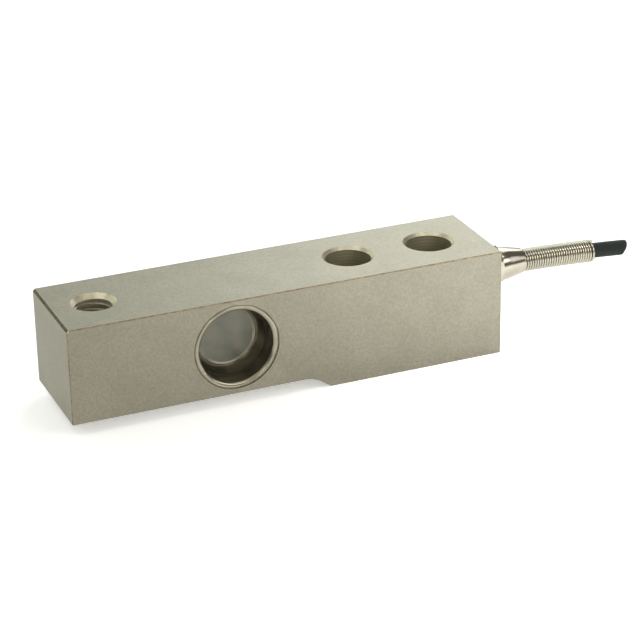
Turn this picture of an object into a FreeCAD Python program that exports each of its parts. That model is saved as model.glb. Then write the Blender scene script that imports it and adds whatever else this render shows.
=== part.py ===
import FreeCAD, Part
import math
import os

from FreeCAD import Vector

# A single-ended shear beam load cell. All sizes are in millimetres.
# X runs from the load end to the fixed end, Y from the front side to the rear side, Z up.
# The origin is on the underside of the mounting foot, midway between the two mounting holes.

# The bar
BAR_LENGTH = 130.0
BAR_WIDTH = 31.8
BAR_HEIGHT = 31.8
EDGE_BREAK = 0.25
LOAD_TOP_CHAMFER = 0.6

# The relief under the load end
RELIEF_DEPTH = 3.6
FOOT_LENGTH = 53.5
RELIEF_SLOPE = 34.5
RELIEF_RADIUS = 9.0

# The load thread, M12 by 1.75, drawn at its full radius
LOAD_HOLE_INSET = 12.7
LOAD_THREAD_R = 6.0
LOAD_COUNTERSINK = 0.45

# The two mounting holes
MOUNT_HOLE_R = 6.5
MOUNT_HOLE_INSET = 15.7
MOUNT_HOLE_SPACING = 25.4
MOUNT_HOLE_CHAMFER = 1.0

# The gauge pockets, one from each side, with a web between them
POCKET_INSET = 48.4
POCKET_R = 11.9
WEB_THICKNESS = 5.0
SEAT_WIDTH = 0.7
WEB_PASSAGE_R = 1.1
WEB_PASSAGE_X = 9.3
WEB_PASSAGE_Z = 2.6

# The drawn sealing cups, with heights from the trough at the foot of the taper
SHEET = 0.35
CUP_RECESS = 0.15
CUP_RIM_CLEARANCE = 0.15
CUP_COATING_GAP = 2.55
CUP_WALL_R = 10.9
TROUGH_R = 9.2
TAPER_HEIGHT = 3.25
CREST_R = 8.58
CREST_HEIGHT = 0.53
DISC_R = 8.2
DISC_HEIGHT = 0.1

# The strain gauges and what is wired to them, placed from the middle of the web
GAUGE_LENGTH = 4.6
GAUGE_WIDTH = 3.0
GAUGE_THICKNESS = 0.12
GAUGE_OFFSET = 2.9
GAUGE_ANGLE = 45.0
TERMINAL_X = 8.5
TERMINAL_Z = -3.2
TERMINAL_LENGTH = 2.6
TERMINAL_HEIGHT = 2.7
TERMINAL_THICKNESS = 0.5
BOARD_X = -8.4
BOARD_LENGTH = 3.4
BOARD_HEIGHT = 7.0
BOARD_THICKNESS = 0.6
RESISTOR_LENGTH = 1.6
RESISTOR_HEIGHT = 0.8
RESISTOR_THICKNESS = 0.45
RESISTOR_SPACING = 2.2
COATING_X = 0.45
COATING_LENGTH = 21.5
COATING_HEIGHT = 7.6
COATING_THICKNESS = 1.5
RIBBON_WIDTH = 1.5
RIBBON_THICKNESS = 0.2
RIBBON_BEND = 0.8
RIBBON_LAP = 0.7

# The cable port, the wiring bore and the wires in it
PORT_Y = 9.9
PORT_R = 4.0
PORT_DEPTH = 7.5
PORT_CHAMFER = 0.4
WIRING_BORE_R = 1.6
WIRE_COUNT = 4
WIRE_R = 0.275
WIRE_SIDES = 6
WIRE_SPACING = 0.58
WIRE_CLEARANCE = 0.03
WIRE_BEND = 1.5
WIRE_LANDING_X = 10.5

# The cable gland, with lengths from the end of the bar
THREAD_CLEARANCE = 0.05
HEX_ACROSS_FLATS = 11.0
HEX_LENGTH = 11.7
HEX_CHAMFER = 0.6
HEX_CHAMFER_R = 5.4
SPIGOT_LENGTH = 7.0
SPIGOT_BORE_R = 2.5
SEAL_RING_THICKNESS = 0.8
SEAL_RING_WIDTH = 1.2
BUSH_START = 3.2
BUSH_LENGTH = 5.0
BUSH_GRIP = 0.02
CAVITY_R = 3.9
CAP_R = 5.1
CAP_COLLAR = 1.8
CAP_LENGTH = 7.9
CAP_MOUTH_WALL = 0.2
CAP_BORE_R = 2.55
SPRING_SEAT_DEPTH = 1.7
SPRING_SEAT_CLEARANCE = 0.15
SPRING_END_CLEARANCE = 0.2

# The strain relief, a close-wound coil with one open turn before the last
SPRING_WIRE_R = 0.38
SPRING_COIL_R = 3.07
SPRING_PITCH = 0.82
SPRING_CLOSE_TURNS = 28.7
SPRING_OPEN_PITCH = 1.05
SPRING_END_TURNS = 0.8
SPRING_STEPS = 12
SPRING_WIRE_SIDES = 4

# The signal cable: its route from inside the gland to its cut end, from the middle of the port
CABLE_R = 2.3
CABLE_BEND_SHARE = 0.45
CABLE_RUNS = [
    Vector(-4.8, 0, 0),
    Vector(18.7, 0, 0),
    Vector(42.5, 0, -1.0),
    Vector(54.8, 0, -2.05),
]

# Places worked out from the sizes above
FIXED_END = MOUNT_HOLE_SPACING / 2 + MOUNT_HOLE_INSET
LOAD_END = FIXED_END - BAR_LENGTH
SIDE = BAR_WIDTH / 2
PORT_Z = BAR_HEIGHT / 2
POCKET_X = LOAD_END + POCKET_INSET
POCKET_Z = (RELIEF_DEPTH + BAR_HEIGHT) / 2
POCKET_DEPTH = (BAR_WIDTH - WEB_THICKNESS) / 2
SEAT_R = POCKET_R + SEAT_WIDTH
SEAT_DEPTH = CUP_RECESS + SHEET
TROUGH_DEPTH = POCKET_DEPTH - COATING_THICKNESS - CUP_COATING_GAP - SHEET
SPRING_R = SPRING_COIL_R + SPRING_WIRE_R
CABLE_ROUTE = [Vector(FIXED_END, PORT_Y, PORT_Z) + point for point in CABLE_RUNS]

LENGTHWISE = Vector(1, 0, 0)
REARWARD = Vector(0, 1, 0)
FORWARD = Vector(0, -1, 0)
UP = Vector(0, 0, 1)


# Outlines and swept forms
def rounded_edges(points, bends):
    """Straight edges through the points, with a tangent arc of the given radius at each inner one."""
    edges = []
    start = points[0]
    for corner, after, bend in zip(points[1:-1], points[2:], bends):
        inward = (start - corner).normalize()
        onward = (after - corner).normalize()
        half_turn = (math.pi - inward.getAngle(onward)) / 2
        reach = bend * math.tan(half_turn)
        first = corner + inward * reach
        last = corner + onward * reach
        to_middle = bend / math.cos(half_turn) - bend
        middle = corner + (inward + onward).normalize() * to_middle
        edges.append(Part.makeLine(start, first))
        edges.append(Part.Arc(first, middle, last).toShape())
        start = last
    edges.append(Part.makeLine(start, points[-1]))
    return edges


def outline(points):
    """A closed straight-sided face through the points."""
    return Part.Face(Part.makePolygon(points + [points[0]]))


def section(points):
    """Radius and distance pairs as points of a section beside the Z axis."""
    return [Vector(radius, 0, along) for radius, along in points]


def turned(face, base, direction):
    """A face beside the Z axis turned round it, then stood at the base along a direction."""
    solid = face.revolve(Vector(0, 0, 0), UP, 360)
    return placed(solid, base, direction)


def placed(shape, base, direction):
    """A shape made along the Z axis, moved to the base and pointed along a direction."""
    shape.Placement = FreeCAD.Placement(base, FreeCAD.Rotation(UP, direction))
    return shape


def ring(inner_r, outer_r, base, direction, length):
    """A plain tube from the base along a direction."""
    points = [(inner_r, 0), (outer_r, 0), (outer_r, length), (inner_r, length)]
    return turned(outline(section(points)), base, direction)


def swept(edges, profile):
    """A closed outline carried along edges that meet tangent to tangent."""
    return Part.Wire(edges).makePipeShell([Part.Wire(profile)], True, False)


def many_sided(middle, outward, across, radius, sides):
    """A regular outline round a middle, with its first corner outward."""
    angles = [2 * math.pi * side / sides for side in range(sides)]
    corners = [middle + (outward * math.cos(a) + across * math.sin(a)) * radius for a in angles]
    return Part.makePolygon(corners + [corners[0]])


def block_on_web(x, z, length, height, thickness, side, lift=0.0):
    """A flat rectangular piece on one face of the web, given by its middle."""
    near = side * (WEB_THICKNESS / 2 + lift)
    corner = Vector(POCKET_X + x - length / 2, min(near, near + side * thickness), POCKET_Z + z - height / 2)
    return Part.makeBox(length, thickness, height, corner)


# The bar
def chamfered_hole(radius, chamfer, bottom, top):
    """The tool for an upright through hole with a chamfer at both ends."""
    points = [
        (0, bottom),
        (radius + chamfer, bottom),
        (radius, bottom + chamfer),
        (radius, top - chamfer),
        (radius + chamfer, top),
        (0, top),
    ]
    return outline(section(points))


def bar_profile():
    """The side view of the bar: a square bar with a long shallow relief under its load end."""
    slope = math.radians(RELIEF_SLOPE)
    foot_start = FIXED_END - FOOT_LENGTH
    knee_x = foot_start - RELIEF_DEPTH / math.tan(slope)
    reach = RELIEF_RADIUS * math.tan(slope / 2)
    points = [
        Vector(knee_x - reach, -SIDE, RELIEF_DEPTH),
        Vector(LOAD_END + EDGE_BREAK, -SIDE, RELIEF_DEPTH),
        Vector(LOAD_END, -SIDE, RELIEF_DEPTH + EDGE_BREAK),
        Vector(LOAD_END, -SIDE, BAR_HEIGHT - LOAD_TOP_CHAMFER),
        Vector(LOAD_END + LOAD_TOP_CHAMFER, -SIDE, BAR_HEIGHT),
        Vector(FIXED_END - EDGE_BREAK, -SIDE, BAR_HEIGHT),
        Vector(FIXED_END, -SIDE, BAR_HEIGHT - EDGE_BREAK),
        Vector(FIXED_END, -SIDE, EDGE_BREAK),
        Vector(FIXED_END - EDGE_BREAK, -SIDE, 0),
        Vector(foot_start, -SIDE, 0),
    ]
    straight = [Part.makeLine(a, b) for a, b in zip(points, points[1:])]
    knee = Vector(knee_x, -SIDE, RELIEF_DEPTH)
    curved = rounded_edges([points[-1], knee, points[0] + Vector(-1, 0, 0)], [RELIEF_RADIUS])
    return Part.Face(Part.Wire(straight + curved[:2]))


def beam_body():
    bar = bar_profile().extrude(REARWARD * BAR_WIDTH)
    side_edges = [
        edge for edge in bar.Edges
        if all(abs(abs(vertex.Y) - SIDE) < 1e-6 for vertex in edge.Vertexes)
        and edge.Vertexes[0].Y * edge.Vertexes[-1].Y > 0
    ]
    bar = bar.makeChamfer(EDGE_BREAK, side_edges)

    load_hole = chamfered_hole(LOAD_THREAD_R, LOAD_COUNTERSINK, RELIEF_DEPTH, BAR_HEIGHT)
    tools = [turned(load_hole, Vector(LOAD_END + LOAD_HOLE_INSET, 0, 0), UP)]
    for place in range(2):
        hole_x = FIXED_END - MOUNT_HOLE_INSET - place * MOUNT_HOLE_SPACING
        mount_hole = chamfered_hole(MOUNT_HOLE_R, MOUNT_HOLE_CHAMFER, 0, BAR_HEIGHT)
        tools.append(turned(mount_hole, Vector(hole_x, 0, 0), UP))

    for side, inward in ((-SIDE, REARWARD), (SIDE, FORWARD)):
        mouth = Vector(POCKET_X, side, POCKET_Z)
        tools.append(Part.makeCylinder(SEAT_R, SEAT_DEPTH, mouth, inward))
        tools.append(Part.makeCylinder(POCKET_R, POCKET_DEPTH, mouth, inward))

    passage = Vector(POCKET_X + WEB_PASSAGE_X, -WEB_THICKNESS, POCKET_Z + WEB_PASSAGE_Z)
    tools.append(Part.makeCylinder(WEB_PASSAGE_R, 2 * WEB_THICKNESS, passage, REARWARD))

    port_mouth = Vector(FIXED_END, PORT_Y, PORT_Z)
    port = [
        (0, 0),
        (PORT_R + PORT_CHAMFER, 0),
        (PORT_R, PORT_CHAMFER),
        (PORT_R, PORT_DEPTH),
        (0, PORT_DEPTH),
    ]
    tools.append(turned(outline(section(port)), port_mouth, -LENGTHWISE))
    tools.append(Part.makeCylinder(WIRING_BORE_R, FIXED_END - POCKET_X, port_mouth, -LENGTHWISE))
    return bar.cut(tools)


# The sealing cups
def offset_line(points, distance):
    """The points moved to the right of their path by a distance, mitred at each corner."""
    directions = [(b - a).normalize() for a, b in zip(points, points[1:])]
    normals = [Vector(d.z, 0, -d.x) for d in directions]
    moved = [points[0] + normals[0] * distance]
    for point, before, after in zip(points[1:-1], normals, normals[1:]):
        bisector = (before + after).normalize()
        moved.append(point + bisector * (distance / bisector.dot(after)))
    moved.append(points[-1] + normals[-1] * distance)
    return moved


def sealing_cup(side, inward):
    """A cup drawn from sheet: flat rim, straight wall, taper, and a floor inside a raised crest.

    The bends of the sheet are left sharp, and its hidden side runs flat behind the crest.
    """
    seen = section([
        (SEAT_R - CUP_RIM_CLEARANCE, CUP_RECESS),
        (CUP_WALL_R, CUP_RECESS),
        (CUP_WALL_R, TROUGH_DEPTH - TAPER_HEIGHT),
        (TROUGH_R, TROUGH_DEPTH),
        (CREST_R, TROUGH_DEPTH - CREST_HEIGHT),
        (DISC_R, TROUGH_DEPTH - DISC_HEIGHT),
        (0, TROUGH_DEPTH - DISC_HEIGHT),
    ])
    hidden = offset_line(seen[:4] + section([(0, TROUGH_DEPTH)]), SHEET)
    return turned(outline(seen + hidden[::-1]), Vector(POCKET_X, side, POCKET_Z), inward)


# The gauges, terminals, board and leads on the web
def gauge(side, hand):
    """One foil gauge, laid at the shear angle on one face of the web."""
    foil = block_on_web(0, 0, GAUGE_LENGTH, GAUGE_WIDTH, GAUGE_THICKNESS, side)
    foil.rotate(Vector(POCKET_X, 0, POCKET_Z), REARWARD, hand * GAUGE_ANGLE)
    foil.translate(LENGTHWISE * (hand * GAUGE_OFFSET))
    return foil


def terminal(side):
    middle_x = TERMINAL_X + TERMINAL_LENGTH / 2
    middle_z = TERMINAL_Z + TERMINAL_HEIGHT / 2
    return block_on_web(middle_x, middle_z, TERMINAL_LENGTH, TERMINAL_HEIGHT, TERMINAL_THICKNESS, side)


def compensation_board():
    return block_on_web(BOARD_X, 0, BOARD_LENGTH, BOARD_HEIGHT, BOARD_THICKNESS, 1)


def resistor(place):
    z = place * RESISTOR_SPACING
    return block_on_web(
        BOARD_X, z, RESISTOR_LENGTH, RESISTOR_HEIGHT, RESISTOR_THICKNESS, 1, lift=BOARD_THICKNESS
    )


def bridge_ribbon():
    """A flat lead of four cores from the front terminal, through the web, to the rear terminal."""
    x = POCKET_X + WEB_PASSAGE_X
    out = WEB_THICKNESS / 2 + TERMINAL_THICKNESS + RIBBON_THICKNESS / 2
    landing_z = POCKET_Z + TERMINAL_Z + TERMINAL_HEIGHT - RIBBON_LAP
    passage_z = POCKET_Z + WEB_PASSAGE_Z
    points = [
        Vector(x, -out, landing_z),
        Vector(x, -out, passage_z),
        Vector(x, out, passage_z),
        Vector(x, out, landing_z),
    ]
    half_width = LENGTHWISE * (RIBBON_WIDTH / 2)
    half_thickness = REARWARD * (RIBBON_THICKNESS / 2)
    corners = [
        points[0] - half_width - half_thickness,
        points[0] + half_width - half_thickness,
        points[0] + half_width + half_thickness,
        points[0] - half_width + half_thickness,
    ]
    profile = Part.makePolygon(corners + [corners[0]])
    return swept(rounded_edges(points, [RIBBON_BEND, RIBBON_BEND]), profile)


def signal_wire(place):
    """One core of the cable, along the low side of the wiring bore and down to the rear terminal."""
    outermost = (WIRE_COUNT - 1) / 2 * WIRE_SPACING
    sideways = place * WIRE_SPACING - outermost
    reach = WIRING_BORE_R - WIRE_R - WIRE_CLEARANCE
    drop = math.sqrt(reach ** 2 - outermost ** 2)
    y = PORT_Y - drop
    z = PORT_Z + sideways
    landing_x = POCKET_X + WIRE_LANDING_X
    points = [
        Vector(CABLE_ROUTE[0].x, y, z),
        Vector(landing_x, y, z),
        Vector(landing_x, WEB_THICKNESS / 2 + TERMINAL_THICKNESS, z),
    ]
    profile = many_sided(points[0], UP, REARWARD, WIRE_R, WIRE_SIDES)
    return swept(rounded_edges(points, [WIRE_BEND]), profile)


def coating(side, covered):
    """The patch of soft sealant over everything on one face of the web."""
    patch = block_on_web(COATING_X, 0, COATING_LENGTH, COATING_HEIGHT, COATING_THICKNESS, side)
    return patch.cut(covered)


# The cable gland, built along the port's axis
def from_port(along):
    return Vector(FIXED_END + along, PORT_Y, PORT_Z)


def gland_body():
    """The hexagon and threaded spigot, bored for the cable, the seal bush and the cap's thread."""
    corner_r = HEX_ACROSS_FLATS / math.sqrt(3)
    hexagon = Part.Face(many_sided(Vector(0, 0, 0), LENGTHWISE, REARWARD, corner_r, 6))
    height = HEX_LENGTH - SEAL_RING_THICKNESS
    turned_outline = [
        (0, 0),
        (corner_r, 0),
        (corner_r, height - HEX_CHAMFER),
        (HEX_CHAMFER_R, height),
        (0, height),
    ]
    round_bar = outline(section(turned_outline)).revolve(Vector(0, 0, 0), UP, 360)
    head = hexagon.extrude(UP * height).common(round_bar)
    head = placed(head, from_port(SEAL_RING_THICKNESS), LENGTHWISE)
    spigot_length = SPIGOT_LENGTH + SEAL_RING_THICKNESS
    spigot = Part.makeCylinder(PORT_R - THREAD_CLEARANCE, spigot_length, from_port(-SPIGOT_LENGTH), LENGTHWISE)
    bores = [
        Part.makeCylinder(SPIGOT_BORE_R, SPIGOT_LENGTH + HEX_LENGTH, from_port(-SPIGOT_LENGTH), LENGTHWISE),
        Part.makeCylinder(CAVITY_R, HEX_LENGTH - BUSH_START, from_port(BUSH_START), LENGTHWISE),
    ]
    return head.fuse(spigot).cut(bores).removeSplitter()


def gland_seal_ring():
    return ring(PORT_R, PORT_R + SEAL_RING_WIDTH, from_port(0), LENGTHWISE, SEAL_RING_THICKNESS)


def seal_bush():
    """The rubber ring that the cap squeezes round the cable."""
    outer_r = CAVITY_R - THREAD_CLEARANCE
    return ring(CABLE_R + BUSH_GRIP, outer_r, from_port(BUSH_START), LENGTHWISE, BUSH_LENGTH)


def gland_cap():
    """The tapered cap: its threaded nose presses the bush, and its mouth holds the coil."""
    seat_r = SPRING_R + SPRING_SEAT_CLEARANCE
    nose_r = CAVITY_R - THREAD_CLEARANCE
    nose_end = BUSH_START + BUSH_LENGTH
    mouth = HEX_LENGTH + CAP_LENGTH
    profile = section([
        (CAP_R, HEX_LENGTH),
        (CAP_R, HEX_LENGTH + CAP_COLLAR),
        (seat_r + CAP_MOUTH_WALL, mouth),
        (seat_r, mouth),
        (seat_r, mouth - SPRING_SEAT_DEPTH),
        (CAP_BORE_R, mouth - SPRING_SEAT_DEPTH),
        (CAP_BORE_R, nose_end),
        (nose_r, nose_end),
        (nose_r, HEX_LENGTH),
    ])
    return turned(outline(profile), from_port(0), LENGTHWISE)


# The strain relief coil
def spring_rise(turn):
    """How far along its axis the wire has come after so many turns."""
    close = min(turn, SPRING_CLOSE_TURNS)
    opened = min(max(turn - SPRING_CLOSE_TURNS, 0), 1)
    end = max(turn - SPRING_CLOSE_TURNS - 1, 0)
    return close * SPRING_PITCH + opened * SPRING_OPEN_PITCH + end * SPRING_PITCH


def strain_relief_spring():
    """A coil of round wire, drawn in short straight lengths, along the cable's second run."""
    turns = SPRING_CLOSE_TURNS + 1 + SPRING_END_TURNS
    points = []
    for step in range(int(turns * SPRING_STEPS) + 1):
        turn = step / SPRING_STEPS
        angle = 2 * math.pi * turn
        points.append(Vector(
            SPRING_COIL_R * math.cos(angle), SPRING_COIL_R * math.sin(angle), spring_rise(turn)
        ))
    along = (points[1] - points[0]).normalize()
    across = along.cross(LENGTHWISE).normalize()
    outward = across.cross(along)
    profile = many_sided(points[0], outward, across, SPRING_WIRE_R, SPRING_WIRE_SIDES)
    coil = Part.makePolygon(points).makePipeShell([profile], True, True, 1)
    direction = CABLE_ROUTE[2] - CABLE_ROUTE[1]
    direction.normalize()
    shoulder = FIXED_END + HEX_LENGTH + CAP_LENGTH - SPRING_SEAT_DEPTH
    back = (CABLE_ROUTE[1].x - shoulder - SPRING_WIRE_R - SPRING_END_CLEARANCE) / direction.x
    return placed(coil, CABLE_ROUTE[1] - direction * back, direction)


# The signal cable
def signal_cable():
    runs = [(b - a).Length for a, b in zip(CABLE_ROUTE, CABLE_ROUTE[1:])]
    bends = []
    for before, corner, after, first, second in zip(
        CABLE_ROUTE, CABLE_ROUTE[1:], CABLE_ROUTE[2:], runs, runs[1:]
    ):
        half_turn = (corner - before).getAngle(after - corner) / 2
        bends.append(CABLE_BEND_SHARE * min(first, second) / math.tan(half_turn))
    edges = rounded_edges(CABLE_ROUTE, bends)
    cable = swept(edges, Part.makeCircle(CABLE_R, CABLE_ROUTE[0], LENGTHWISE))
    length = sum(edge.Length for edge in edges)
    expected = math.pi * CABLE_R ** 2 * length
    print("cable bend radii", [round(bend, 1) for bend in bends], "length", round(length, 2))
    print("cable volume", round(cable.Volume, 2), "section times length", round(expected, 2))
    return cable


def load_cell():
    """Every piece of the load cell, by its name."""
    pieces = {
        "beam_body": beam_body(),
        "front_sealing_cup": sealing_cup(-SIDE, REARWARD),
        "rear_sealing_cup": sealing_cup(SIDE, FORWARD),
    }
    for name, side in (("front", -1), ("rear", 1)):
        pieces[name + "_left_gauge"] = gauge(side, -1)
        pieces[name + "_right_gauge"] = gauge(side, 1)
        pieces[name + "_terminal"] = terminal(side)
    pieces["compensation_board"] = compensation_board()
    pieces["zero_balance_resistor"] = resistor(-1)
    pieces["zero_temperature_resistor"] = resistor(0)
    pieces["span_resistor"] = resistor(1)
    pieces["bridge_ribbon"] = bridge_ribbon()
    wires = ["excitation_plus", "excitation_minus", "signal_plus", "signal_minus"]
    for place, name in enumerate(wires):
        pieces[name + "_wire"] = signal_wire(place)
    on_web = [shape for name, shape in pieces.items() if name != "beam_body" and "cup" not in name]
    pieces["front_coating"] = coating(-1, on_web)
    pieces["rear_coating"] = coating(1, on_web)
    pieces["gland_body"] = gland_body()
    pieces["gland_seal_ring"] = gland_seal_ring()
    pieces["seal_bush"] = seal_bush()
    pieces["gland_cap"] = gland_cap()
    pieces["strain_relief_spring"] = strain_relief_spring()
    pieces["signal_cable"] = signal_cable()
    return pieces


os.makedirs("parts", exist_ok=True)
for piece_name, piece in load_cell().items():
    piece.exportStep("parts/" + piece_name + ".step")
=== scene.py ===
import math

import bmesh
import bpy
from mathutils import Euler, Matrix, Vector


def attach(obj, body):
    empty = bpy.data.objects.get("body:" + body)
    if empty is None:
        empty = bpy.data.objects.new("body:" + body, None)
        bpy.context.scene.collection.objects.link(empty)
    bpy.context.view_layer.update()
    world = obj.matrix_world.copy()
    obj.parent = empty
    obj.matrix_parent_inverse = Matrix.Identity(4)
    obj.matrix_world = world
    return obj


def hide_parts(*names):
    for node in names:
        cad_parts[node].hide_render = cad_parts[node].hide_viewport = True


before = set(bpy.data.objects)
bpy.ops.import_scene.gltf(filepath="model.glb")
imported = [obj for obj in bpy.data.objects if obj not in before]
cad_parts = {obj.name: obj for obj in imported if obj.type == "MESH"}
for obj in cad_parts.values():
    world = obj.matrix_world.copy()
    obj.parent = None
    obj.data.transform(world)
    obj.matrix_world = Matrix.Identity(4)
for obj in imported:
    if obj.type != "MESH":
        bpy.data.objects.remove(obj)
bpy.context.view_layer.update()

# A single-ended shear beam load cell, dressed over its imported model.
# Lengths are written in millimetres and turned to metres where they are used.
# The origin is under the mounting foot, midway between the two mounting holes.
MM = 0.001
PAST_FACE = 1

# The bar, with the relief under its load end
FIXED_END = 28.4
LOAD_END = -101.6
SIDE = 15.9
HEIGHT = 31.8
RELIEF = 3.6
FOOT_START = -25.1
KNEE = -30.338
KNEE_REACH = 2.795

# How far its edges are broken
TOP_END_CHAMFER = 0.6
SIDE_END_CHAMFER = 0.25
CORNER_CUT = 0.9
TOP_FRONT_BREAK = 0.3
EDGE_BREAK = 0.2

# Its holes: the radius of the wall, and of the 45 degree countersink where it meets the face
LOAD_HOLE_X = -88.9
LOAD_HOLE_R = 5.125
LOAD_SINK_R = 6.45
MOUNT_HOLES_X = (12.7, -12.7)
MOUNT_HOLE_R = 6.65
MOUNT_SINK_R = 7.5

# The load thread's groove: its pitch, and the section that is carried up the hole
THREAD_PITCH = 1.75
THREAD_TURNS = 17
GROOVE_R = 5.45
GROOVE_START = 0.87
GROOVE_REACH = 1.1
GROOVE_MOUTH = 1.49
GROOVE_ROOT_SHARE = 0.15

# The gauge pockets, the passage through the web between them, and the way in for the cable
POCKET_X = -53.2
POCKET_Z = 17.7
POCKET_R = 11.9
POCKET_DEPTH = 13.4
LIP_SEAT_R = 12.6
LIP_SEAT_DEPTH = 0.5
PASSAGE_R = 1.1
PASSAGE_REACH = 4
PASSAGE_ASIDE = 9.3
PASSAGE_ABOVE = 2.6
PORT_Y = 9.9
PORT_Z = 15.9
PORT_R = 4
PORT_SINK_R = 4.4
PORT_DEPTH = 7.5
WIRING_R = 1.6

# A sealing cup, from the back of its floor round the lip to the front of its floor, as (radius, depth),
# and its bends, as (radius, depth, size)
CUP_OUTLINE = [
    (3, 9.35), (9.1, 9.35), (11.25, 5.95), (11.25, 0.9), (12.45, 0.5), (12.44, 0.4), (12.34, 0.22),
    (12.18, 0.1), (12.04, 0.05), (11.97, 0.1), (11.9, 0.07), (11.72, 0.09), (11.5, 0.17),
    (11.28, 0.29), (11.08, 0.46), (10.95, 0.66), (10.9, 0.88), (10.9, 5.75), (9.2, 9.0),
    (8.58, 8.47), (8.2, 8.9), (0, 8.9),
]
CUP_BENDS = ((10.9, 5.75, 0.5), (9.2, 9.0, 0.2), (8.58, 8.47, 0.25), (8.2, 8.9, 0.12))
LIP_DEPTH = 0.87
FLOOR_R = 8.1
CREST_R = 8.95
CREST_DEPTH = 8.95

# The gland, as (radius, distance from the bar's end)
HEXAGON = [(6.351, 0.8), (6.351, 11.7), (0, 11.7)]
HEXAGON_CHAMFER = [(5.5, 0.7), (6.5, 1.3), (6.5, 11.0), (5.3, 11.75), (0, 11.75)]
HEXAGON_BREAK = 0.12
SPIGOT = [(3.95, -7), (3.95, 1.5), (0, 1.5)]
GLAND_BORE = [(2.5, -8), (2.5, 3.2), (3.9, 3.2), (3.9, 12.5), (0, 12.5)]
CAP_OUTLINE = [
    (3.85, 8.2), (3.85, 11.75), (5.1, 11.75), (5.1, 13.5), (3.8, 19.6), (3.6, 19.6),
    (3.6, 17.9), (2.55, 17.9), (2.55, 8.2), (3.85, 8.2),
]
CAP_BENDS = ((5.1, 11.75, 0.15), (5.1, 13.5, 1.2), (3.8, 19.6, 0.08))

# The cable, from inside the gland to its slanting cut end
CABLE_ROUTE = [(23.6, 9.9, 15.9), (47.1, 9.9, 15.9), (70.9, 9.9, 14.9), (83.2, 9.9, 13.85)]
CABLE_R = 2.3
CABLE_SLANT = 24
CABLE_SPARE = 1.4
CABLE_END_ROUND = 0.45

# The strain relief coil
COIL_START_X = 46.88
COIL_R = 3.06
WIRE_R = 0.395
COIL_PITCH = 0.82
COIL_OPENED = 0.23
COIL_CLOSE_TURNS = 28.7
COIL_TURNS = 30.5
COIL_STEPS = 32

# How much of its white the floor sends back by itself to the camera and to polished metal
FLOOR_GLOW = 0.4

# Which way a form made along Z is pointed
UPWARD = Euler((0, 0, 0))
LENGTHWISE = Euler((0, math.radians(90), 0))
INWARD = Euler((0, math.radians(-90), 0))
REARWARD = Euler((math.radians(-90), 0, 0))
FORWARD = Euler((math.radians(90), 0, 0))
QUARTER_BACK = Euler((0, 0, math.radians(-90)))


# Modelling, as by hand
def pick(piece):
    """Makes one object the only one selected."""
    if bpy.context.mode != "OBJECT":
        bpy.ops.object.mode_set(mode="OBJECT")
    bpy.ops.object.select_all(action="DESELECT")
    piece.select_set(True)
    bpy.context.view_layer.objects.active = piece


def new_piece(name):
    """Names the primitive just added and puts its place and turn into its mesh."""
    piece = bpy.context.object
    piece.name = name
    piece.data.name = name
    pick(piece)
    bpy.ops.object.transform_apply(location=True, rotation=True, scale=True)
    return piece


def select(piece, kind, test):
    """In edit mode, selects only the vertices, edges or faces that pass a test."""
    if bpy.context.object is not piece:
        pick(piece)
    bpy.ops.object.mode_set(mode="EDIT")
    bpy.ops.mesh.select_mode(type={"verts": "VERT", "edges": "EDGE", "faces": "FACE"}[kind])
    bpy.ops.mesh.select_all(action="DESELECT")
    mesh = bmesh.from_edit_mesh(piece.data)
    for element in getattr(mesh, kind):
        if test(element):
            element.select_set(True)
    mesh.select_flush_mode()
    bmesh.update_edit_mesh(piece.data)


def middle(edge):
    return (edge.verts[0].co + edge.verts[1].co) / (2 * MM)


def finish_mesh(piece, angle=35):
    """Merges doubles, points the faces outwards and shades by angle."""
    pick(piece)
    bpy.ops.object.mode_set(mode="EDIT")
    bpy.ops.mesh.select_all(action="SELECT")
    bpy.ops.mesh.remove_doubles(threshold=1e-7)
    bpy.ops.mesh.normals_make_consistent(inside=False)
    bpy.ops.object.mode_set(mode="OBJECT")
    bpy.ops.object.shade_smooth_by_angle(angle=math.radians(angle))


def apply_modifier(piece, kind, **settings):
    pick(piece)
    modifier = piece.modifiers.new(kind.lower(), kind)
    for setting, value in settings.items():
        setattr(modifier, setting, value)
    bpy.ops.object.modifier_apply(modifier=modifier.name)


def turned(name, rings, sides=128, closed=False):
    """A turned form along Z, drawn out ring by ring as (radius, height)."""
    bpy.ops.object.select_all(action="DESELECT")
    radius, height = rings[0]
    bpy.ops.mesh.primitive_circle_add(vertices=sides, radius=radius * MM, location=(0, 0, height * MM))
    piece = new_piece(name)
    bpy.ops.object.mode_set(mode="EDIT")
    bpy.ops.mesh.select_mode(type="VERT")
    bpy.ops.mesh.select_all(action="SELECT")
    if not closed:
        bpy.ops.mesh.edge_face_add()
    for next_radius, next_height in rings[1:]:
        bpy.ops.mesh.extrude_region_move(
            TRANSFORM_OT_translate={"value": (0, 0, (next_height - height) * MM)}
        )
        if next_radius == 0:
            bpy.ops.mesh.merge(type="CENTER")
            break
        scale = next_radius / radius
        bpy.ops.transform.resize(value=(scale, scale, 1), center_override=(0, 0, next_height * MM))
        radius, height = next_radius, next_height
    bpy.ops.object.mode_set(mode="OBJECT")
    return piece


def bend_ring(piece, radius, height, width, segments=5):
    """Rounds the one ring of edges at a radius and a height."""
    def on_ring(vert):
        return abs(vert.co.z / MM - height) < 0.01 and abs(vert.co.xy.length / MM - radius) < 0.01
    select(piece, "edges", lambda edge: on_ring(edge.verts[0]) and on_ring(edge.verts[1]))
    bpy.ops.mesh.bevel(offset=width * MM, segments=segments)
    bpy.ops.object.mode_set(mode="OBJECT")


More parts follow.
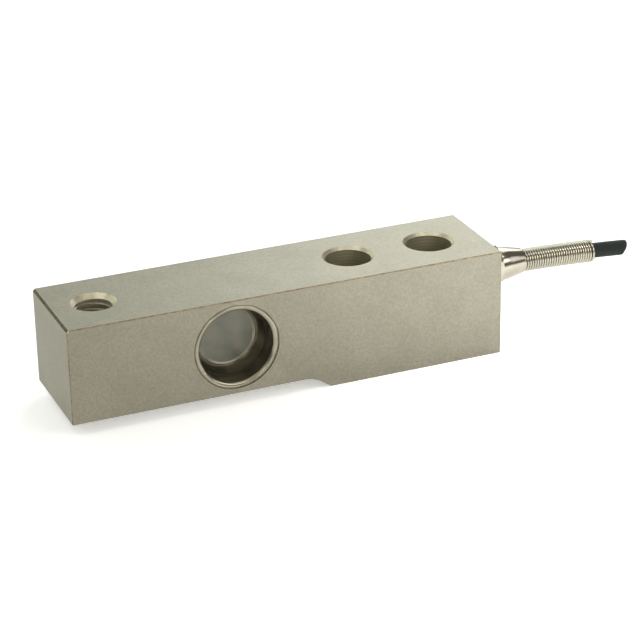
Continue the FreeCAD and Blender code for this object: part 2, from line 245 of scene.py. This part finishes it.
def finish_faces(piece, slot, test):
    """Gives the faces that pass a test, on their middle in mm, one of the piece's own finishes."""
    select(piece, "faces", lambda face: test(face.calc_center_median() / MM, face.normal))
    piece.active_material_index = slot
    bpy.ops.object.material_slot_assign()
    bpy.ops.object.mode_set(mode="OBJECT")


def stand(piece, x, y, z, turn):
    """Puts a form made along Z at its place on the object, pointed as told."""
    pick(piece)
    piece.location = (x * MM, y * MM, z * MM)
    piece.rotation_euler = turn
    bpy.ops.object.transform_apply(location=True, rotation=True, scale=True)
    return piece


def cut(piece, tool, operation="DIFFERENCE"):
    apply_modifier(
        piece, "BOOLEAN", object=tool, operation=operation, solver="EXACT", material_mode="TRANSFER",
    )
    bpy.data.objects.remove(tool)
    pick(piece)


# Materials
def linear(code):
    """An sRGB hex colour as linear red, green, blue and alpha."""
    shares = [int(code[i:i + 2], 16) / 255 for i in (1, 3, 5)]
    return [s / 12.92 if s <= 0.04045 else ((s + 0.055) / 1.055) ** 2.4 for s in shares] + [1]


def add_node(tree, kind, inputs=(), **settings):
    """Adds a node with its settings, its values and its links."""
    node = tree.nodes.new(kind)
    for setting, value in settings.items():
        setattr(node, setting, value)
    for socket, value in dict(inputs).items():
        if isinstance(value, bpy.types.NodeSocket):
            tree.links.new(value, node.inputs[socket])
        else:
            node.inputs[socket].default_value = value
    return node


def new_material(name, **sockets):
    """A material with a Principled shader, and the object's coordinates to hang patterns on."""
    material = bpy.data.materials.new(name)
    material.use_nodes = True
    tree = material.node_tree
    shader = tree.nodes["Principled BSDF"]
    for socket, value in sockets.items():
        shader.inputs[socket.replace("_", " ")].default_value = value
    place = add_node(tree, "ShaderNodeTexCoord").outputs["Object"]
    return material, tree, shader, place


def per_mm(size):
    """The texture scale, for coordinates in metres, of a pattern whose features are this many mm."""
    return 1 / (size * MM)


def noise(tree, place, size, detail):
    """A soft random pattern, from 0 to 1, with features of this many mm."""
    node = add_node(
        tree, "ShaderNodeTexNoise", {"Vector": place, "Scale": per_mm(size), "Detail": detail}
    )
    return node.outputs["Fac"]


# What the wave texture's scale is divided by, so that one light or dark band is as wide as asked
WAVE_BAND = 6.2832


def waves(tree, place, size, distortion, **settings):
    """Rings or bands, from 0 to 1, each light or dark one about this many mm wide."""
    node = add_node(
        tree, "ShaderNodeTexWave",
        {"Vector": place, "Scale": per_mm(size) / WAVE_BAND, "Distortion": distortion}, **settings,
    )
    return node


def tones(tree, pattern, dark, light, start=0.0, end=1.0):
    """A colour that goes from dark to light while a pattern goes from start to end."""
    node = add_node(tree, "ShaderNodeValToRGB", {"Fac": pattern})
    for stop, position, code in zip(node.color_ramp.elements, (start, end), (dark, light)):
        stop.position = position
        stop.color = linear(code)
    return node.outputs["Color"]


def between(tree, pattern, low, high):
    """A pattern from 0 to 1, brought between two values."""
    node = add_node(tree, "ShaderNodeMapRange", {"Value": pattern, "To Min": low, "To Max": high})
    return node.outputs["Result"]


def relief(tree, pattern, strength, depth=0.02):
    """A pattern as a fine relief, this many mm deep."""
    node = add_node(
        tree, "ShaderNodeBump", {"Height": pattern, "Strength": strength, "Distance": depth * MM}
    )
    return node.outputs["Normal"]


def link(tree, shader, **sockets):
    for socket, value in sockets.items():
        tree.links.new(value, shader.inputs[socket.replace("_", " ")])


def mottled(name, colours, roughness, size, detail, ramp=(0.0, 1.0), bump=0.0, **sockets):
    """A finish with one fine pattern in its colour, in its roughness and, if asked, in its relief."""
    material, tree, shader, place = new_material(name, **sockets)
    pattern = noise(tree, place, size, detail)
    link(
        tree, shader,
        Base_Color=tones(tree, pattern, *colours, *ramp), Roughness=between(tree, pattern, *roughness),
    )
    if bump:
        link(tree, shader, Normal=relief(tree, pattern, bump))
    return material


# Satin nickel plate over blasted tool steel: an even, soft, warm grey sheen with faint clouds.
# The real grain is finer than the picture can show, so it is drawn coarser, at 0.7 mm.
def satin_nickel_plate():
    material, tree, shader, place = new_material("satin_nickel_plate", Metallic=1.0)
    clouds = noise(tree, place, 11, 5)
    grain = noise(tree, place, 0.7, 4)
    speckle = add_node(
        tree, "ShaderNodeMapRange",
        {"Value": grain, "From Min": 0.3, "From Max": 0.7, "To Min": 0.87, "To Max": 1.13},
    )
    tone = add_node(
        tree, "ShaderNodeVectorMath",
        {0: tones(tree, clouds, "#8f8d7d", "#979383", 0.3, 0.7), "Scale": speckle.outputs["Result"]},
        operation="SCALE",
    )
    link(
        tree, shader, Base_Color=tone.outputs["Vector"],
        Roughness=between(tree, grain, 0.44, 0.56), Normal=relief(tree, grain, 0.2),
    )
    return material


# The same plate over a turned countersink: smoother, and painted paler than the faces, a painted
# highlight that stands for the light from above as a pale ring
def turned_countersink():
    return mottled(
        "plated_countersink_painted_highlight", ("#b9b299", "#d3ccb4"), (0.36, 0.48), 0.8, 3,
        ramp=(0.3, 0.7), bump=0.2, Metallic=1.0,
    )


# The same plate in darker tones along an edge: darker over the top of the load end, and browner down the
# corners and along the top front edge, as a thin line
def darker_edge_tone(name, dark, light):
    return mottled(name, (dark, light), (0.4, 0.6), 1.6, 3, ramp=(0.35, 0.7), Metallic=1.0)


# Bored steel with thin plating: dull, and a little paler than the faces, with fine rings left by
# the drill
def bored_steel():
    material, tree, shader, place = new_material("bored_steel", Metallic=1.0)
    rings = waves(tree, place, 0.5, 0.6, wave_type="BANDS", bands_direction="Z").outputs["Fac"]
    link(
        tree, shader, Base_Color=tones(tree, rings, "#a6a38c", "#bab69f"),
        Roughness=between(tree, rings, 0.5, 0.6),
    )
    return material


# Tapped thread in plated steel: the bright cut flanks catch a soft line of light on each turn
def tapped_thread():
    return mottled("tapped_thread", ("#c0bcab", "#dfdac9"), (0.35, 0.5), 0.6, 2, Metallic=1.0)


# Deep-drawn stainless sheet, with faint rings about its own axis, in lit and shaded copies: paler on the
# lip and the crest, a painted highlight, and darker on the wall and the floor, painted shade down in the
# pocket; the floor is satin as well. The rings spread a highlight across themselves.
def drawn_stainless(name, dark, light, smoothest, roughest, drawn):
    material, tree, shader, place = new_material(name, Metallic=1.0, Anisotropic=drawn)
    centred = add_node(
        tree, "ShaderNodeMapping", {"Vector": place, "Location": (-POCKET_X * MM, 0, -POCKET_Z * MM)}
    ).outputs["Vector"]
    rings = waves(tree, centred, 0.35, 0.8, wave_type="RINGS", rings_direction="Y")
    rings.inputs["Detail"].default_value = 1.0
    clouds = noise(tree, place, 4, 4)
    across = add_node(
        tree, "ShaderNodeVectorMath", {0: centred, 1: (1, 0, 1)}, operation="MULTIPLY"
    )
    link(
        tree, shader, Base_Color=tones(tree, clouds, dark, light, 0.3, 0.7),
        Roughness=between(tree, clouds, smoothest, roughest),
        Normal=relief(tree, rings.outputs["Fac"], 0.03, 0.01), Tangent=across.outputs["Vector"],
    )
    return material


# Bright nickel on turned brass: a warm mirror, very faintly clouded
def nickel_on_brass():
    return mottled(
        "bright_nickel_on_brass", ("#aea797", "#b8b2a3"), (0.14, 0.22), 3, 3,
        ramp=(0.3, 0.7), Metallic=1.0,
    )


# Bright drawn spring wire: smooth and mirror-like, so each turn has its own highlight
def spring_wire():
    return mottled("bright_spring_wire", ("#a39f8e", "#bcb8a8"), (0.15, 0.25), 0.9, 2, Metallic=1.0)


# Extruded polyurethane jacket: greenish black, smooth, with a soft waxy sheen
def polyurethane_jacket():
    return mottled(
        "polyurethane_jacket", ("#1d231f", "#252b27"), (0.6, 0.7), 1.2, 3,
        bump=0.15, IOR=1.5, Specular_IOR_Level=0.2,
    )


# Moulded or coated small parts sealed inside, told apart by colour and sheen
def sealed_part(name, dark, light, roughness, grain):
    return mottled(name, (dark, light), (roughness - 0.05, roughness + 0.05), grain, 2)


# The bar
def make_bar(finishes):
    bpy.ops.object.select_all(action="DESELECT")
    bpy.ops.mesh.primitive_cube_add(
        size=1,
        location=((LOAD_END + FIXED_END) / 2 * MM, 0, HEIGHT / 2 * MM),
        scale=((FIXED_END - LOAD_END) * MM, 2 * SIDE * MM, HEIGHT * MM),
    )
    bar = new_piece("bar")
    for finish in finishes:
        bar.data.materials.append(finish)
    darker_end, browner_side, painted_glint_corner = 1, 2, 3

    # the relief under the load end, with its rounded knee
    for x in (FOOT_START, KNEE):
        select(bar, "faces", lambda face: True)
        bpy.ops.mesh.bisect(plane_co=(x * MM, 0, 0), plane_no=(1, 0, 0))
    select(bar, "verts", lambda vert: vert.co.z < 1e-6 and vert.co.x < (KNEE + 1) * MM)
    bpy.ops.transform.translate(value=(0, 0, RELIEF * MM))
    select(bar, "edges", lambda e: abs(middle(e).x - KNEE) < 0.01 and abs(middle(e).z - RELIEF) < 0.01)
    bpy.ops.mesh.bevel(offset=KNEE_REACH * MM, segments=10)

    # the broken edges: flat chamfers round the load end, drawn in darker tones, and at each of its two
    # top corners a small facet finished as the countersinks are, paler, a painted highlight
    for y, z, width, slot in (
        (0, HEIGHT, TOP_END_CHAMFER, darker_end),
        (-SIDE, 0, SIDE_END_CHAMFER, browner_side), (SIDE, 0, SIDE_END_CHAMFER, browner_side),
        (-SIDE, HEIGHT, CORNER_CUT, painted_glint_corner), (SIDE, HEIGHT, CORNER_CUT, painted_glint_corner),
    ):
        outward = Vector((-1, y / SIDE, z / HEIGHT)).normalized()
        corner = Vector((LOAD_END + width, y, z))
        select(bar, "faces", lambda face: True)
        bpy.ops.mesh.bisect(plane_co=corner * MM, plane_no=outward, clear_outer=True, use_fill=True)
        finish_faces(bar, slot, lambda spot, normal: normal.dot(outward) > 0.999)

    # and a touch of the file on the others, the most on the one along the top of the front
    select(bar, "edges", lambda e: middle(e).y < 0.01 - SIDE and middle(e).z > HEIGHT - 0.01)
    bpy.ops.mesh.bevel(offset=TOP_FRONT_BREAK * MM, segments=3)
    select(bar, "edges", lambda e: e.calc_face_angle() > math.radians(60))
    bpy.ops.mesh.bevel(offset=EDGE_BREAK * MM, segments=3)
    finish_faces(
        bar, browner_side,
        lambda spot, normal: normal.y < -0.2 and normal.z > 0.2 and abs(normal.x) < 0.1,
    )
    return bar


def hole_tool(name, radius, sink_radius, bottom, top):
    """The tool that bores a hole and countersinks it on both faces of the bar."""
    sink = sink_radius - radius
    return turned(name, [
        (sink_radius + PAST_FACE, bottom - PAST_FACE), (radius, bottom + sink), (radius, top - sink),
        (sink_radius + PAST_FACE, top + PAST_FACE), (0, top + PAST_FACE),
    ])


def drill_bar(bar, bore, thread, countersink):
    """Cuts the holes, the gauge pockets, the cable port and the wiring bore."""
    load_hole = hole_tool("load_hole_tool", LOAD_HOLE_R, LOAD_SINK_R, RELIEF, HEIGHT)
    load_hole.data.materials.append(thread)
    tools = [stand(load_hole, LOAD_HOLE_X, 0, 0, UPWARD)]
    for x in MOUNT_HOLES_X:
        hole = hole_tool("mount_hole_tool", MOUNT_HOLE_R, MOUNT_SINK_R, 0, HEIGHT)
        hole.data.materials.append(bore)
        tools.append(stand(hole, x, 0, 0, UPWARD))
    for side, turn in ((-SIDE, REARWARD), (SIDE, FORWARD)):
        pocket = turned("pocket_tool", [
            (LIP_SEAT_R, -PAST_FACE), (LIP_SEAT_R, LIP_SEAT_DEPTH), (POCKET_R, LIP_SEAT_DEPTH),
            (POCKET_R, POCKET_DEPTH), (0, POCKET_DEPTH),
        ])
        pocket.data.materials.append(bore)
        tools.append(stand(pocket, POCKET_X, side, POCKET_Z, turn))
    passage = turned("passage_tool", [
        (PASSAGE_R, -PASSAGE_REACH), (PASSAGE_R, PASSAGE_REACH), (0, PASSAGE_REACH),
    ], sides=48)
    passage.data.materials.append(bore)
    tools.append(stand(passage, POCKET_X + PASSAGE_ASIDE, 0, POCKET_Z + PASSAGE_ABOVE, REARWARD))
    wiring_end = FIXED_END - POCKET_X
    port = turned("port_tool", [
        (PORT_SINK_R + PAST_FACE, -PAST_FACE), (PORT_R, PORT_SINK_R - PORT_R), (PORT_R, PORT_DEPTH),
        (WIRING_R, PORT_DEPTH), (WIRING_R, wiring_end), (0, wiring_end),
    ], sides=96)
    port.data.materials.append(bore)
    tools.append(stand(port, FIXED_END, PORT_Y, PORT_Z, INWARD))
    for tool in tools:
        finish_mesh(tool)
        cut(bar, tool)
    groove = make_thread_groove()
    groove.data.materials.append(thread)
    cut(bar, stand(groove, LOAD_HOLE_X, 0, 0, QUARTER_BACK))

    # the countersinks, known by their slope, are finished apart
    countersink_slot = list(bar.data.materials).index(countersink)
    for x, sink_radius in (
        (LOAD_HOLE_X, LOAD_SINK_R), (MOUNT_HOLES_X[0], MOUNT_SINK_R), (MOUNT_HOLES_X[1], MOUNT_SINK_R),
    ):
        finish_faces(
            bar, countersink_slot,
            lambda spot, normal: (spot - Vector((x, 0, spot.z))).length < sink_radius + 0.05
            and 0.6 < abs(normal.z) < 0.8 and (HEIGHT - spot.z < 1.35 or spot.z < RELIEF + 1.4),
        )
    finish_mesh(bar, angle=32)
    apply_modifier(bar, "WEIGHTED_NORMAL", keep_sharp=True, weight=100)


def make_thread_groove():
    """The groove of the load thread: one section, carried up the hole by a screw."""
    bpy.ops.object.select_all(action="DESELECT")
    bpy.ops.mesh.primitive_plane_add(size=1 * MM, rotation=(math.radians(90), 0, 0))
    groove = new_piece("thread_groove_tool")
    select(groove, "verts", lambda vert: True)
    bpy.ops.transform.resize(value=(GROOVE_REACH, 1, GROOVE_MOUTH), center_override=(0, 0, 0))
    select(groove, "verts", lambda vert: vert.co.x > 0)
    bpy.ops.transform.resize(value=(1, 1, GROOVE_ROOT_SHARE), center_override=(0, 0, 0))
    select(groove, "verts", lambda vert: True)
    bpy.ops.transform.translate(value=(GROOVE_R * MM, 0, GROOVE_START * MM))
    bpy.ops.mesh.delete(type="ONLY_FACE")
    bpy.ops.object.mode_set(mode="OBJECT")
    apply_modifier(
        groove, "SCREW", axis="Z", angle=2 * math.pi, screw_offset=THREAD_PITCH * MM,
        iterations=THREAD_TURNS, steps=64, render_steps=64, use_merge_vertices=False,
    )
    for low_end in (True, False):
        select(groove, "edges", lambda edge: edge.is_boundary and (middle(edge).z < 10) == low_end)
        bpy.ops.mesh.edge_face_add()
    finish_mesh(groove, angle=30)
    return groove


# The drawn sealing cups
def make_cup(name, side, turn, wall, lip, disc):
    """Drawn from one sheet: a rolled rim with a groove, a plain wall, a taper and a crested floor."""
    cup = turned(name, CUP_OUTLINE)
    for radius, depth, width in CUP_BENDS:
        bend_ring(cup, radius, depth, width)
    for finish in (wall, lip, disc):
        cup.data.materials.append(finish)
    # the lip and the crest take the paler copy, a painted highlight; the floor takes the satin one
    finish_faces(
        cup, 1,
        lambda spot, normal: spot.z < LIP_DEPTH
        or (FLOOR_R < spot.xy.length < CREST_R and spot.z < CREST_DEPTH),
    )
    finish_faces(cup, 2, lambda spot, normal: spot.xy.length < FLOOR_R)
    finish_mesh(cup, angle=40)
    return stand(cup, POCKET_X, side, POCKET_Z, turn)


# The cable gland
def make_gland_body():
    body = turned("gland_hexagon", HEXAGON, sides=6)
    stand(body, 0, 0, 0, Euler((0, 0, math.radians(30))))
    finish_mesh(body)
    select(body, "edges", lambda e: e.calc_face_angle() > math.radians(40))
    bpy.ops.mesh.bevel(offset=HEXAGON_BREAK * MM, segments=2)
    bpy.ops.object.mode_set(mode="OBJECT")
    for name, rings, sides, operation in (
        ("chamfer_tool", HEXAGON_CHAMFER, 128, "INTERSECT"),
        ("spigot_tool", SPIGOT, 96, "UNION"),
        ("bore_tool", GLAND_BORE, 96, "DIFFERENCE"),
    ):
        tool = turned(name, rings, sides=sides)
        finish_mesh(tool)
        cut(body, tool, operation)
    finish_mesh(body, angle=28)
    apply_modifier(body, "WEIGHTED_NORMAL", keep_sharp=True, weight=100)
    return stand(body, FIXED_END, PORT_Y, PORT_Z, LENGTHWISE)


def make_gland_cap():
    cap = turned("gland_cap_shell", CAP_OUTLINE, sides=96, closed=True)
    for radius, height, width in CAP_BENDS:
        bend_ring(cap, radius, height, width)
    finish_mesh(cap, angle=40)
    return stand(cap, FIXED_END, PORT_Y, PORT_Z, LENGTHWISE)


# The cable's route, and what lies along it
def make_route():
    curve = bpy.data.curves.new("cable_route", "CURVE")
    curve.dimensions = "3D"
    curve.resolution_u = 24
    spline = curve.splines.new("NURBS")
    spline.points.add(len(CABLE_ROUTE) - 1)
    for point, (x, y, z) in zip(spline.points, CABLE_ROUTE):
        point.co = (x * MM, y * MM, z * MM, 1)
    spline.order_u = 3
    spline.use_endpoint_u = True
    route = bpy.data.objects.new("cable_route", curve)
    bpy.context.scene.collection.objects.link(route)
    return route


def read_route(route):
    """The points of the route's own smooth line, in metres."""
    line = bpy.data.meshes.new_from_object(route)
    points = [vert.co.copy() for vert in line.vertices]
    bpy.data.meshes.remove(line)
    return points


def along_route(points, distance):
    """The place and direction on the route at a distance from its start, past its end if asked."""
    for start, end in zip(points, points[1:]):
        run = (end - start).length
        if distance <= run or end is points[-1]:
            direction = (end - start).normalized()
            return start + direction * distance, direction
        distance -= run


def make_cable(route, points):
    tube_line = route.copy()
    tube_line.data = route.data.copy()
    bpy.context.scene.collection.objects.link(tube_line)
    tube_line.data.bevel_depth = CABLE_R * MM
    tube_line.data.bevel_resolution = 12
    pick(tube_line)
    bpy.ops.object.convert(target="MESH")
    cable = bpy.context.object
    cable.name = "cable"
    cable.data.name = "cable"

    # the slanting cut at its far end
    end = points[-1]
    direction = (points[-1] - points[-2]).normalized()
    select(
        cable, "verts", lambda vert: (vert.co - end).length < (CABLE_R + 0.05) * MM
        and (vert.co - end).dot(direction) > -1e-5,
    )
    bpy.ops.mesh.extrude_region_move(TRANSFORM_OT_translate={"value": direction * CABLE_SPARE * MM})
    slant = Matrix.Rotation(math.radians(CABLE_SLANT), 3, "Y") @ direction
    select(cable, "faces", lambda face: True)
    bpy.ops.mesh.bisect(plane_co=end, plane_no=slant, clear_outer=True, use_fill=False)
    select(cable, "edges", lambda e: e.is_boundary)
    bpy.ops.mesh.edge_face_add()
    select(cable, "edges", lambda e: all(abs((v.co - end).dot(slant)) < 1e-6 for v in e.verts))
    bpy.ops.mesh.bevel(offset=CABLE_END_ROUND * MM, segments=4)
    bpy.ops.object.mode_set(mode="OBJECT")
    return cable


def make_coil(points):
    """The strain relief wire, wound round the cable's own line."""
    start = COIL_START_X - CABLE_ROUTE[0][0]
    across = Vector((0, 1, 0))
    centres = []
    for step in range(int(COIL_TURNS * COIL_STEPS) + 1):
        turn = step / COIL_STEPS
        rise = turn * COIL_PITCH + min(max(turn - COIL_CLOSE_TURNS, 0), 1) * COIL_OPENED
        place, direction = along_route(points, (start + rise) * MM)
        down = across.cross(direction)
        angle = 2 * math.pi * turn
        centres.append(place + (down * math.cos(angle) + across * math.sin(angle)) * COIL_R * MM)
    curve = bpy.data.curves.new("strain_relief_coil", "CURVE")
    curve.dimensions = "3D"
    curve.bevel_depth = WIRE_R * MM
    curve.bevel_resolution = 3
    curve.use_fill_caps = True
    curve.resolution_u = 1
    spline = curve.splines.new("POLY")
    spline.points.add(len(centres) - 1)
    for point, centre in zip(spline.points, centres):
        point.co = (*centre, 1)
    coil = bpy.data.objects.new("strain_relief_coil", curve)
    bpy.context.scene.collection.objects.link(coil)
    pick(coil)
    bpy.ops.object.convert(target="MESH")
    coil = bpy.context.object
    finish_mesh(coil, angle=60)
    return coil


# The pieces
countersink = turned_countersink()
bar = make_bar([
    satin_nickel_plate(), darker_edge_tone("darker_end_chamfer", "#4c4a38", "#706d57"),
    darker_edge_tone("browner_corner_edge", "#766853", "#a39579"), countersink,
])
drill_bar(bar, bored_steel(), tapped_thread(), countersink)
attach(bar, "root")
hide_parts("beam_body")

cup_wall = drawn_stainless("drawn_stainless_wall", "#747064", "#837f73", 0.2, 0.3, 0.0)
cup_lip = drawn_stainless("stainless_lip_painted_highlight", "#918d7c", "#a39e8d", 0.24, 0.34, 0.0)
cup_floor = drawn_stainless("satin_stainless_floor", "#6e6f64", "#7d7b70", 0.34, 0.44, 0.85)
for name, node, side, turn in (
    ("front_cup", "front_sealing_cup", -SIDE, REARWARD),
    ("rear_cup", "rear_sealing_cup", SIDE, FORWARD),
):
    cup = make_cup(name, side, turn, cup_wall, cup_lip, cup_floor)
    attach(cup, "root")
    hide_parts(node)

brass = nickel_on_brass()
hexagon = make_gland_body()
hexagon.data.materials.clear()
hexagon.data.materials.append(brass)
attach(hexagon, "root")
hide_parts("gland_body")

cap = make_gland_cap()
cap.data.materials.append(brass)
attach(cap, "root")
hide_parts("gland_cap")

route = make_route()
route_points = read_route(route)
cable = make_cable(route, route_points)
cable.data.materials.append(polyurethane_jacket())
finish_mesh(cable, angle=40)
coil = make_coil(route_points)
coil.data.materials.append(spring_wire())
bpy.data.objects.remove(route)
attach(cable, "root")
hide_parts("signal_cable")
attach(coil, "root")
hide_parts("strain_relief_spring")

# The sealed pieces keep their solids, and are told apart as follows
finishes = {
    # amber film over a copper grid, glossy
    "gauge": sealed_part("foil_on_polyimide", "#a8701c", "#c98f33", 0.3, 0.4),
    # brown laminate, dull
    "terminal": sealed_part("tinned_terminal_board", "#7b5a2e", "#93703d", 0.45, 0.5),
    # green laminate, half glossy
    "board": sealed_part("glass_epoxy_board", "#24512f", "#2e633a", 0.4, 0.6),
    # near black, glossy
    "resistor": sealed_part("glazed_ceramic", "#17181b", "#222327", 0.25, 0.3),
    # amber, glossy
    "ribbon": sealed_part("polyimide_flat_lead", "#a9772b", "#c18c3a", 0.3, 0.5),
    # the four cores, in plain glossy colours
    "excitation_plus": sealed_part("red_core_insulation", "#94120f", "#a81a14", 0.35, 0.8),
    "excitation_minus": sealed_part("black_core_insulation", "#131313", "#1d1d1d", 0.35, 0.8),
    "signal_plus": sealed_part("green_core_insulation", "#0f5a26", "#17682f", 0.35, 0.8),
    "signal_minus": sealed_part("white_core_insulation", "#d6d5d0", "#e2e1dc", 0.35, 0.8),
    # milky white, half glossy
    "coating": sealed_part("poured_silicone", "#c9c8bd", "#d6d5cb", 0.4, 1.5),
    # black, dull
    "seal": sealed_part("nitrile_rubber", "#0f0f0f", "#191919", 0.55, 0.5),
}
for name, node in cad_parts.items():
    for word, finish in finishes.items():
        if word in name and "cup" not in name:
            node.data.materials.clear()
            node.data.materials.append(finish)


# The floor, the light and the camera
def make_floor():
    """A matt white floor, which sends some white back by itself where the camera or a mirror sees it."""
    bpy.ops.object.select_all(action="DESELECT")
    bpy.ops.mesh.primitive_plane_add(size=24)
    floor = bpy.context.object
    floor.name = "studio_floor"
    material, tree, shader, _ = new_material(
        "white_studio_floor", Roughness=0.9, Specular_IOR_Level=0.2,
        Base_Color=linear("#f4f4f3"), Emission_Color=linear("#ffffff"),
    )
    path = add_node(tree, "ShaderNodeLightPath")
    seen = add_node(
        tree, "ShaderNodeMath", {0: path.outputs["Is Camera Ray"], 1: path.outputs["Is Glossy Ray"]},
        operation="MAXIMUM",
    )
    seen = add_node(
        tree, "ShaderNodeMath", {0: seen.outputs["Value"], 1: path.outputs["Is Transmission Ray"]},
        operation="MAXIMUM",
    )
    glow = add_node(
        tree, "ShaderNodeMath", {0: seen.outputs["Value"], 1: FLOOR_GLOW}, operation="MULTIPLY"
    )
    link(tree, shader, Emission_Strength=glow.outputs["Value"])
    floor.data.materials.append(material)


def make_light(name, place, target, width, height, watts, tint, spread=180):
    lamp = bpy.data.lights.new(name, "AREA")
    lamp.shape = "RECTANGLE"
    lamp.size = width
    lamp.size_y = height
    lamp.energy = watts
    lamp.color = linear(tint)[:3]
    lamp.spread = math.radians(spread)
    light = bpy.data.objects.new(name, lamp)
    bpy.context.scene.collection.objects.link(light)
    light.location = place
    light.rotation_euler = (Vector(target) - Vector(place)).to_track_quat("-Z", "Y").to_euler()
    light.visible_camera = False


def make_world():
    """A faint warm light from all round, so that no side falls to black."""
    world = bpy.data.worlds.new("studio_air")
    bpy.context.scene.world = world
    world.use_nodes = True
    background = world.node_tree.nodes["Background"]
    background.inputs["Color"].default_value = linear("#fffaf0")
    background.inputs["Strength"].default_value = 0.17


def make_camera():
    """The photo's camera, as fitted to the bar's edges, its holes and the cup."""
    data = bpy.data.cameras.new("camera")
    data.sensor_width = 36
    data.lens = 131.68
    data.clip_start = 0.01
    data.clip_end = 20
    camera = bpy.data.objects.new("camera", data)
    bpy.context.scene.collection.objects.link(camera)
    camera.location = (-0.2562855, -0.5675189, 0.2899947)
    camera.rotation_euler = [math.radians(a) for a in (65.75273, 0.98976, -22.90147)]
    bpy.context.scene.camera = camera


make_floor()
OBJECT = (0, 0, 0)
UNDER_FLOOR_LAMP = (0.09, -0.13, 0)
# Each lamp: its place in metres, what it points at, its width, height, watts and tint
for lamp in (
    # what the top mirrors, brighter from its left end to its right
    ("softbox_behind_left", (-0.45, 0.75, 0.4), OBJECT, 1.0, 0.7, 2.1, "#f4fff2"),
    ("softbox_behind", (0.4, 0.45, 0.7), OBJECT, 0.5, 0.7, 1.2, "#fbfdff"),
    ("lamp_behind", (0.1, 0.45, 0.3), OBJECT, 0.4, 0.4, 0.5, "#faffff"),
    ("lamp_behind_right", (0.22, 0.3, 0.25), OBJECT, 0.28, 0.28, 0.5, "#fbfdff"),
    # the pale rings of the countersinks, and the floor that the front mirrors
    ("softbox_overhead", (-0.1, -0.2, 0.8), OBJECT, 0.7, 0.5, 0.8, "#fffdf6"),
    ("softbox_overhead_left", (-0.35, -0.05, 0.8), OBJECT, 0.4, 0.4, 0.7, "#fffdf6"),
    ("softbox_overhead_right", (0.22, -0.25, 0.75), OBJECT, 0.3, 0.3, 0.3, "#fffdf6"),
    # the load end
    ("softbox_left", (-0.6, -0.05, 0.5), OBJECT, 0.3, 0.3, 0.7, "#f4f8ff"),
    # the bright strips of the cap and of the coil
    ("softbox_right", (0.6, -0.35, 0.35), OBJECT, 0.3, 0.3, 0.4, "#fbfaff"),
    ("lamp_front_right", (0.06, -0.15, 0.12), OBJECT, 0.22, 0.06, 0.15, "#fffaf4"),
    # the glint on the cup's crest
    ("lamp_beside_camera", (-0.2, -0.45, 0.16), OBJECT, 0.16, 0.1, 0.26, "#fff6ea"),
    # the brighter floor that raises the front's upper right
    ("lamp_on_floor", (0.09, -0.13, 0.25), UNDER_FLOOR_LAMP, 0.1, 0.1, 0.19, "#f6f6ff", 60),
):
    make_light(*lamp)
make_world()
make_camera()
bpy.context.scene.view_settings.view_transform = "Standard"
